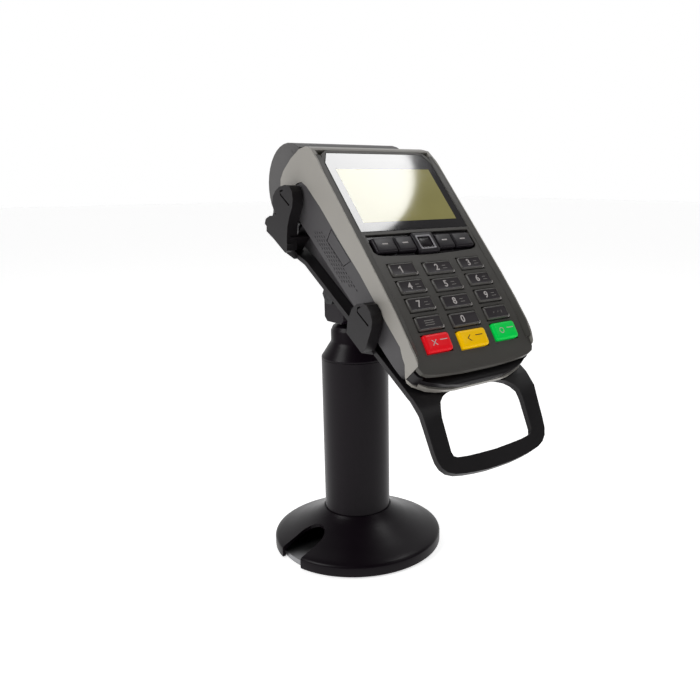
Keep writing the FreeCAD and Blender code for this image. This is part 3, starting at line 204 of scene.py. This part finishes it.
def rounded_rectangle(width, depth, corner, steps=5):
    points = []
    for sx, sy, start in ((1, 1, 0), (-1, 1, 90), (-1, -1, 180), (1, -1, 270)):
        for step in range(steps + 1):
            angle = math.radians(start + 90.0 * step / steps)
            x = sx * (width / 2 - corner) + corner * math.cos(angle)
            y = sy * (depth / 2 - corner) + corner * math.sin(angle)
            points.append((x, y))
    return points


def stacked_rings(rings):
    """Points and faces of a closed shape made of matching rings, each a list of (x, y, z)."""
    count = len(rings[0])
    points = [point for ring in rings for point in ring]
    faces = []
    for level in range(len(rings) - 1):
        low = level * count
        high = low + count
        for index in range(count):
            following = (index + 1) % count
            faces.append((low + index, low + following, high + following, high + index))
    faces.append(tuple(range((len(rings) - 1) * count, len(rings) * count)))
    faces.append(tuple(reversed(range(count))))
    return points, faces


# ---------------------------------------------------------------- plain CAD pieces in their finishes

SLOTS = {entry["node"]: entry["material_slot"] for entry in frame["record"]["subparts"]}
DEFAULT_EDGE = 0.2
EDGE_WIDTHS = {
    "base_cover": 0.5,
    "tray": 0.7,
    "upper_housing": 1.0,
    "face_bezel": 0.3,
    "lower_housing": 0.8,
    "paper_cover": 0.5,
    "tilt_yoke": 0.5,
    "nose_trim": 0.3,
    "platen_gear": 0.0,
    "idler_gear": 0.0,
    "motor_pinion": 0.0,
    "pole_tube": 0.3,
}
for node_name, node_slot in SLOTS.items():
    dress_node(node_name, node_slot, EDGE_WIDTHS.get(node_name, DEFAULT_EDGE))

# ---------------------------------------------------------------- keys

COLUMN_PITCH = 21.9
ROW_PITCH = 9.8
FIRST_ROW = 51.9
COLOUR_ROW = 12.4
SIDE_WIDTH = 15.2
MID_WIDTH = 17.4
KEY_DEPTH = 7.2
COLOUR_DEPTH = 8.8
KEY_ROWS = (
    ("key_1", "key_2", "key_3"),
    ("key_4", "key_5", "key_6"),
    ("key_7", "key_8", "key_9"),
    ("key_menu", "key_0", "key_symbols"),
)
COLOUR_KEYS = ("key_cancel", "key_clear", "key_enter")
SIDE_ARC = 0.9
KEY_FOOT = -2.7


def key_place(row_y, column):
    rise = 0.0 if column == 1 else SIDE_ARC
    row = Matrix.Translation((0.0, row_y * MM, face_height(row_y) * MM))
    lean = Matrix.Rotation(face_lean(row_y), 4, "X")
    return FACE @ (row @ lean) @ Matrix.Translation(((column - 1) * COLUMN_PITCH * MM, rise * MM, 0.0))


def ring_at(outline, z):
    return [(x, y, z) for x, y in outline]


KEY_WELL = 0.66
FRAME_DEPTH_INSET = 1.35


def framed_key(name, place, width, depth):
    """Digit key: a raised, rounded frame round a darker, slightly sunk centre."""
    levels = (
        (0.0, 1.2, KEY_FOOT),
        (0.0, 1.2, 0.25),
        (0.25, 1.1, 0.62),
        (0.6, 1.0, 0.86),
        (0.95, 0.8, 0.95),
        (1.2, 0.6, 0.93),
        (1.4, 0.45, 0.72),
        (1.75, 0.4, KEY_WELL),
    )
    rings = []
    for inset, corner, z in levels:
        rings.append(ring_at(rounded_rectangle(width - inset, depth - inset * FRAME_DEPTH_INSET, corner), z))
    points, faces = stacked_rings(rings)
    piece = add_piece(name + "_cap", points, faces, place, name, ["key_rim", "key_dark"])
    ring_size = len(rings[0])
    sunk = (len(levels) - 2) * ring_size
    for index, polygon in enumerate(piece.data.polygons):
        if sunk <= index < (len(levels) - 1) * ring_size + 1:
            polygon.material_index = 1
    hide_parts(name)


def domed_key(name, place, width, depth, finish):
    levels = [(0.0, 1.3, KEY_FOOT), (0.0, 1.3, 0.5), (0.2, 1.3, 0.95), (0.6, 1.3, 1.3), (1.3, 1.25, 1.55)]
    levels += [(2.6, 1.1, 1.75), (4.6, 0.8, 1.9), (6.6, 0.5, 1.97)]
    rings = []
    for inset, corner, z in levels:
        rings.append(ring_at(rounded_rectangle(width - inset, depth - inset, corner), z))
    points, faces = stacked_rings(rings)
    piece = add_piece(name + "_cap", points, faces, place, name, [finish])
    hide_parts(name)


LETTER_WEIGHT = 0.00009
LETTER_RISE = 0.00003


def legend(name, text, place, x, z, size, body):
    """Generic lettering as a thin raised plate."""
    curve = bpy.data.curves.new(name, "FONT")
    curve.body = text
    curve.size = size * MM
    curve.extrude = LETTER_RISE
    curve.offset = LETTER_WEIGHT
    curve.align_x = "CENTER"
    curve.align_y = "CENTER"
    source = bpy.data.objects.new(name + "_source", curve)
    bpy.context.scene.collection.objects.link(source)
    bpy.context.view_layer.update()
    mesh = bpy.data.meshes.new_from_object(source)
    bpy.data.objects.remove(source)
    mesh.name = name
    mesh.transform(place @ Matrix.Translation((x * MM, 0.0, z * MM)))
    mesh.materials.clear()
    mesh.materials.append(FINISHES["legend"])
    obj = bpy.data.objects.new(name, mesh)
    bpy.context.scene.collection.objects.link(obj)
    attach(obj, body)


MARK_HALF_HEIGHT = 0.05


def stroke_mark(name, body, place, strokes, z, half, finish="legend"):
    """Thin raised marks, each a closed ribbon round a line of points in the key's plane."""
    points = []
    faces = []
    for line in strokes:
        for (ax, ay), (bx, by) in zip(line, line[1:]):
            reach = math.hypot(bx - ax, by - ay)
            ux, uy = (bx - ax) / reach * half, (by - ay) / reach * half
            corners = [(ax - ux - uy, ay - uy + ux), (ax - ux + uy, ay - uy - ux)]
            corners += [(bx + ux + uy, by + uy - ux), (bx + ux - uy, by + uy + ux)]
            start = len(points)
            for level in (z - MARK_HALF_HEIGHT, z + MARK_HALF_HEIGHT):
                points += [(x, y, level) for x, y in corners]
            faces += [tuple(start + i for i in (0, 1, 2, 3)), tuple(start + i for i in (7, 6, 5, 4))]
            for i in range(4):
                j = (i + 1) % 4
                faces.append((start + i, start + 4 + i, start + 4 + j, start + j))
    add_piece(name, points, faces, place, body, [finish], smooth=False)


def arc(centre_x, centre_y, radius, start, end, steps=10):
    angles = [math.radians(start + (end - start) * step / steps) for step in range(steps + 1)]
    return [(centre_x + radius * math.cos(angle), centre_y + radius * math.sin(angle)) for angle in angles]


DIGIT_ONE = [[(-2.3, 0.8), (-1.2, 1.6), (-1.2, -1.65)]]
DIGIT_BARS = [[(2.4, 0.75), (4.3, 0.75)], [(2.4, -0.75), (4.9, -0.75)]]
MENU_SIGN = [[(-2.6, 1.1), (2.6, 1.1)], [(-2.6, 0.0), (2.6, 0.0)], [(-2.6, -1.1), (2.6, -1.1)]]
DIGIT_SHIFT = -1.3
DIGIT_SIZE = 5.0
DIGIT_LEVEL = KEY_WELL + 0.04
SIGN_LEVEL = KEY_WELL + 0.05
GLINT_LEVEL = 0.72
COLOUR_SIGN_LEVEL = 1.96
SYMBOL_SIGN = [arc(-2.0, 0.0, 0.2, 0, 330, 5), arc(1.0, 0.0, 0.2, 0, 330, 5), [(3.4, 0.5), (3.4, -0.7)]]

for row, names in enumerate(KEY_ROWS):
    for column, key_name in enumerate(names):
        spot = key_place(FIRST_ROW - ROW_PITCH * row, column)
        width = MID_WIDTH if column == 1 else SIDE_WIDTH
        framed_key(key_name, spot, width, KEY_DEPTH)
        sign = key_name[4:]
        if sign == "1":
            stroke_mark("key_1_digit", key_name, spot, DIGIT_ONE, SIGN_LEVEL, 0.3)
        elif sign.isdigit():
            legend(key_name + "_digit", sign, spot, DIGIT_SHIFT, DIGIT_LEVEL, DIGIT_SIZE, key_name)
            if sign != "0":
                stroke_mark(key_name + "_bars", key_name, spot, DIGIT_BARS, SIGN_LEVEL, 0.16, "legend_grey")
        elif key_name == "key_menu":
            stroke_mark("key_menu_sign", key_name, spot, MENU_SIGN, SIGN_LEVEL, 0.2, "legend_grey")
        else:
            stroke_mark("key_symbols_sign", key_name, spot, SYMBOL_SIGN, SIGN_LEVEL, 0.18, "legend_grey")
        # Painted highlight: a small bright tick in the faintly glowing legend finish on each key's
        # lower-right rim corner, standing in for the light caught there.
        right, low = width / 2 - 0.15, -KEY_DEPTH / 2 + 0.75
        glint = [[(right - 0.9, low - 0.5), (right - 0.25, low - 0.2), (right, low + 0.5)]]
        stroke_mark(key_name + "_corner_painted_glint", key_name, spot, glint, GLINT_LEVEL, 0.23)

COLOUR_SIGNS = (
    ([[(-4.0, 1.2), (-1.6, -1.2)], [(-4.0, -1.2), (-1.6, 1.2)], [(1.0, 0.9), (5.0, 0.9)]], "legend"),
    ([[(-2.6, 1.4), (-4.4, 0.0), (-2.6, -1.4)], [(1.0, 0.9), (5.2, 0.9)]], "legend_black"),
    ([arc(-3.0, 0.0, 1.3, 0, 360, 14), [(1.0, 0.9), (5.0, 0.9)]], "legend"),
)
for column, (key_name, finish) in enumerate(zip(COLOUR_KEYS, ("key_red", "key_yellow", "key_green"))):
    spot = key_place(COLOUR_ROW, column)
    domed_key(key_name, spot, MID_WIDTH if column == 1 else SIDE_WIDTH, COLOUR_DEPTH, finish)
    strokes, ink = COLOUR_SIGNS[column]
    stroke_mark(key_name + "_sign", key_name, spot, strokes, COLOUR_SIGN_LEVEL, 0.2, ink)


FUNCTION_ROW = 67.4
FUNCTION_DEPTH = 8.2
FUNCTION_KEYS = (
    ("key_f1", -25.1, 12.4),
    ("key_f2", -12.7, 11.2),
    ("key_f3", 12.7, 11.2),
    ("key_f4", 25.1, 12.4),
)


def function_key(name, x, width):
    place = FACE @ Matrix.Translation((x * MM, FUNCTION_ROW * MM, 0.0))
    levels = [(0.0, 0.6, KEY_FOOT), (0.0, 0.6, 0.1), (0.25, 0.6, 0.6), (0.8, 0.6, 0.95), (1.8, 0.6, 1.1)]
    rings = []
    for inset, corner, z in levels:
        rings.append(ring_at(rounded_rectangle(width - inset, FUNCTION_DEPTH - inset, corner), z))
    points, faces = stacked_rings(rings)
    piece = add_piece(name + "_cap", points, faces, place, name, ["key_gloss"])
    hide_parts(name)
    dash = [ring_at(rounded_rectangle(3.4, 0.7, 0.2, 2), z) for z in (1.0, 1.16)]
    dash = [[(px, py + 0.2, pz) for px, py, pz in ring] for ring in dash]
    points, faces = stacked_rings(dash)
    add_piece(name + "_dash", points, faces, place, name, ["legend"])


for key_name, key_x, key_width in FUNCTION_KEYS:
    function_key(key_name, key_x, key_width)

NAV_WIDTH = 13.2
NAV_DEPTH = 11.6
NAV_ROW = 67.1
NAV_PLACE = FACE @ Matrix.Translation((0.0, NAV_ROW * MM, 0.0))
NAV_LEVELS = [(0.0, 1.0, KEY_FOOT), (0.0, 1.0, 0.9), (0.4, 1.0, 1.3), (1.0, 1.0, 1.45), (3.2, 1.0, 1.3)]
NAV_LEVELS += [(3.7, 1.0, 1.5)]
NAV_LEVELS += [(4.3, 0.9, 1.52), (4.9, 0.9, 1.1), (5.3, 0.8, 0.8), (6.4, 0.6, 0.75), (8.0, 0.4, 0.85)]
NAV_RIDGE = (4, 7)
nav_rings = []
for inset, corner, z in NAV_LEVELS:
    nav_rings.append(ring_at(rounded_rectangle(NAV_WIDTH - inset, NAV_DEPTH - inset, corner), z))
nav_points, nav_faces = stacked_rings(nav_rings)
nav_finishes = ["key_gloss", "key_chrome", "panel_gloss"]
nav = add_piece("nav_key_cap", nav_points, nav_faces, NAV_PLACE, "nav_key", nav_finishes)
for face_index, polygon in enumerate(nav.data.polygons):
    level = face_index // len(nav_rings[0])
    if NAV_RIDGE[0] <= level < NAV_RIDGE[1]:
        polygon.material_index = 1
    elif level >= NAV_RIDGE[1] and face_index < len(nav_rings[0]) * (len(NAV_LEVELS) - 1) + 1:
        polygon.material_index = 2
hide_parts("nav_key")

# The display seen through the lens: a flush glossy window.
WINDOW = [(-30.1, 81.4), (30.1, 81.4), (30.1, 115.0), (-30.1, 115.0)]
window_points, window_faces = stacked_rings([[(x, y, z) for x, y in WINDOW] for z in (-0.4, 0.02)])
window = add_piece("display_window", window_points, window_faces, FACE, "head", ["display"], smooth=False)

# Rows of small grip dots low on each side of the housing.
GRIP_ROWS = 5
GRIP_FIRST = 55.0
GRIP_LAST = 93.0
GRIP_TOP = -16.9
GRIP_SLOPE = 0.11
GRIP_ROW_DROP = 1.45
GRIP_PITCH = 2.7
DOT_HALF = (0.95, 0.42)
DOT_RISE = 0.3
SIDE_FACE = 38.7


def grip_dots(side):
    points = []
    faces = []
    around = 10
    for row in range(GRIP_ROWS):
        first = GRIP_FIRST + 2.6 * row + GRIP_PITCH / 2 * (row % 2)
        last = GRIP_LAST + 1.2 * row
        count = int((last - first) / GRIP_PITCH)
        for index in range(count + 1):
            y = first + GRIP_PITCH * index
            z = GRIP_TOP - GRIP_SLOPE * (y - GRIP_FIRST) - GRIP_ROW_DROP * row
            start = len(points)
            for scale, rise in ((1.0, -0.05), (0.9, 0.1), (0.55, DOT_RISE)):
                for step in range(around):
                    angle = 2 * math.pi * step / around
                    spot_y = y + DOT_HALF[0] * scale * math.cos(angle)
                    spot_z = z + DOT_HALF[1] * scale * math.sin(angle)
                    points.append((side * (SIDE_FACE + rise), spot_y, spot_z))
            for level in range(2):
                for step in range(around):
                    after = (step + 1) % around
                    low = start + level * around
                    faces.append((low + step, low + after, low + around + after, low + around + step))
            faces.append(tuple(range(start + 2 * around, start + 3 * around)))
            faces.append(tuple(reversed(range(start, start + around))))
    name = "grip_dots_left" if side < 0 else "grip_dots_right"
    add_piece(name, points, faces, FACE, "head", ["housing_plastic"])


grip_dots(-1)
grip_dots(1)

# ---------------------------------------------------------------- floor, light and camera

floor_material = material("floor", (0.9, 0.9, 0.9), 0.6, grain=60.0, bump=0.02, mottling=0.004, glow=0.75)
floor_mesh = bpy.data.meshes.new("floor")
REACH = 6.0
floor_corners = [(-REACH, -REACH, 0), (REACH, -REACH, 0), (REACH, REACH, 0), (-REACH, REACH, 0)]
floor_mesh.from_pydata(floor_corners, [], [(0, 1, 2, 3)])
floor_mesh.materials.append(floor_material)
floor = bpy.data.objects.new("floor", floor_mesh)
bpy.context.scene.collection.objects.link(floor)


def area_light(name, where, towards, size, power, shape="RECTANGLE"):
    lamp = bpy.data.lights.new(name, "AREA")
    lamp.shape = shape
    lamp.size = size[0]
    if shape == "RECTANGLE":
        lamp.size_y = size[1]
    lamp.energy = power
    obj = bpy.data.objects.new(name, lamp)
    obj.location = where
    obj.rotation_euler = (Vector(towards) - Vector(where)).to_track_quat("-Z", "Y").to_euler()
    bpy.context.scene.collection.objects.link(obj)


CENTRE = (0.0, -0.04, 0.12)
area_light("key_light", (-0.85, 0.12, 0.72), CENTRE, (0.45, 0.45), 5.2)
area_light("fill_light", (0.5, -0.75, 0.9), CENTRE, (0.5, 0.5), 1.2)
LENS_MIDDLE = (-0.005, -0.047, 0.198)
area_light("lens_light", (0.5046, -0.112, 0.9344), LENS_MIDDLE, (0.19, 0.19), 1.15, "DISK")

# The sweep behind and beside the object is white; the room in front of it is dim.
SWEEP_TO_ROOM = (0.62, 0.78, 0.0)
DIM_ROOM = 0.05
BRIGHT_SWEEP = 0.85
world = bpy.data.worlds.new("studio")
world.use_nodes = True
sky = world.node_tree.nodes
sky_links = world.node_tree.links
sky_where = sky.new("ShaderNodeTexCoord")
along = sky.new("ShaderNodeVectorMath")
along.operation = "DOT_PRODUCT"
along.inputs[1].default_value = SWEEP_TO_ROOM
sky_links.new(sky_where.outputs["Generated"], along.inputs[0])
fade = sky.new("ShaderNodeMapRange")
fade.interpolation_type = "SMOOTHSTEP"
fade.inputs["From Min"].default_value = 0.05
fade.inputs["From Max"].default_value = 0.75
fade.inputs["To Min"].default_value = DIM_ROOM
fade.inputs["To Max"].default_value = BRIGHT_SWEEP
sky_links.new(along.outputs["Value"], fade.inputs["Value"])
seen = sky.new("ShaderNodeLightPath")
pick = sky.new("ShaderNodeMix")
pick.data_type = "FLOAT"
pick.inputs[3].default_value = 1.0
sky_links.new(seen.outputs["Is Camera Ray"], pick.inputs[0])
sky_links.new(fade.outputs["Result"], pick.inputs[2])
sky["Background"].inputs["Color"].default_value = (1.0, 1.0, 1.0, 1.0)
sky_links.new(pick.outputs[0], sky["Background"].inputs["Strength"])
bpy.context.scene.world = world

LENS_LENGTH = 38.57
SENSOR_WIDTH = 36.0
FRAMING_SHIFT = (-0.0771, 0.0171)
CAMERA_POSITION = (-0.24447, -0.34314, 0.21344)
camera_data = bpy.data.cameras.new("camera")
camera_data.lens = LENS_LENGTH
camera_data.sensor_width = SENSOR_WIDTH
camera_data.shift_x, camera_data.shift_y = FRAMING_SHIFT
camera_data.clip_start = 0.01
camera = bpy.data.objects.new("camera", camera_data)
RIGHT = Vector((0.77341, -0.6339, -0.00244)).normalized()
FORWARD = Vector((0.61513, 0.75143, -0.23867)).normalized()
UP = RIGHT.cross(FORWARD).normalized()
turn = Matrix((RIGHT, UP, -FORWARD)).transposed().to_4x4()
camera.matrix_world = Matrix.Translation(CAMERA_POSITION) @ turn
bpy.context.scene.collection.objects.link(camera)
bpy.context.scene.camera = camera
bpy.context.scene.view_settings.view_transform = "Standard"
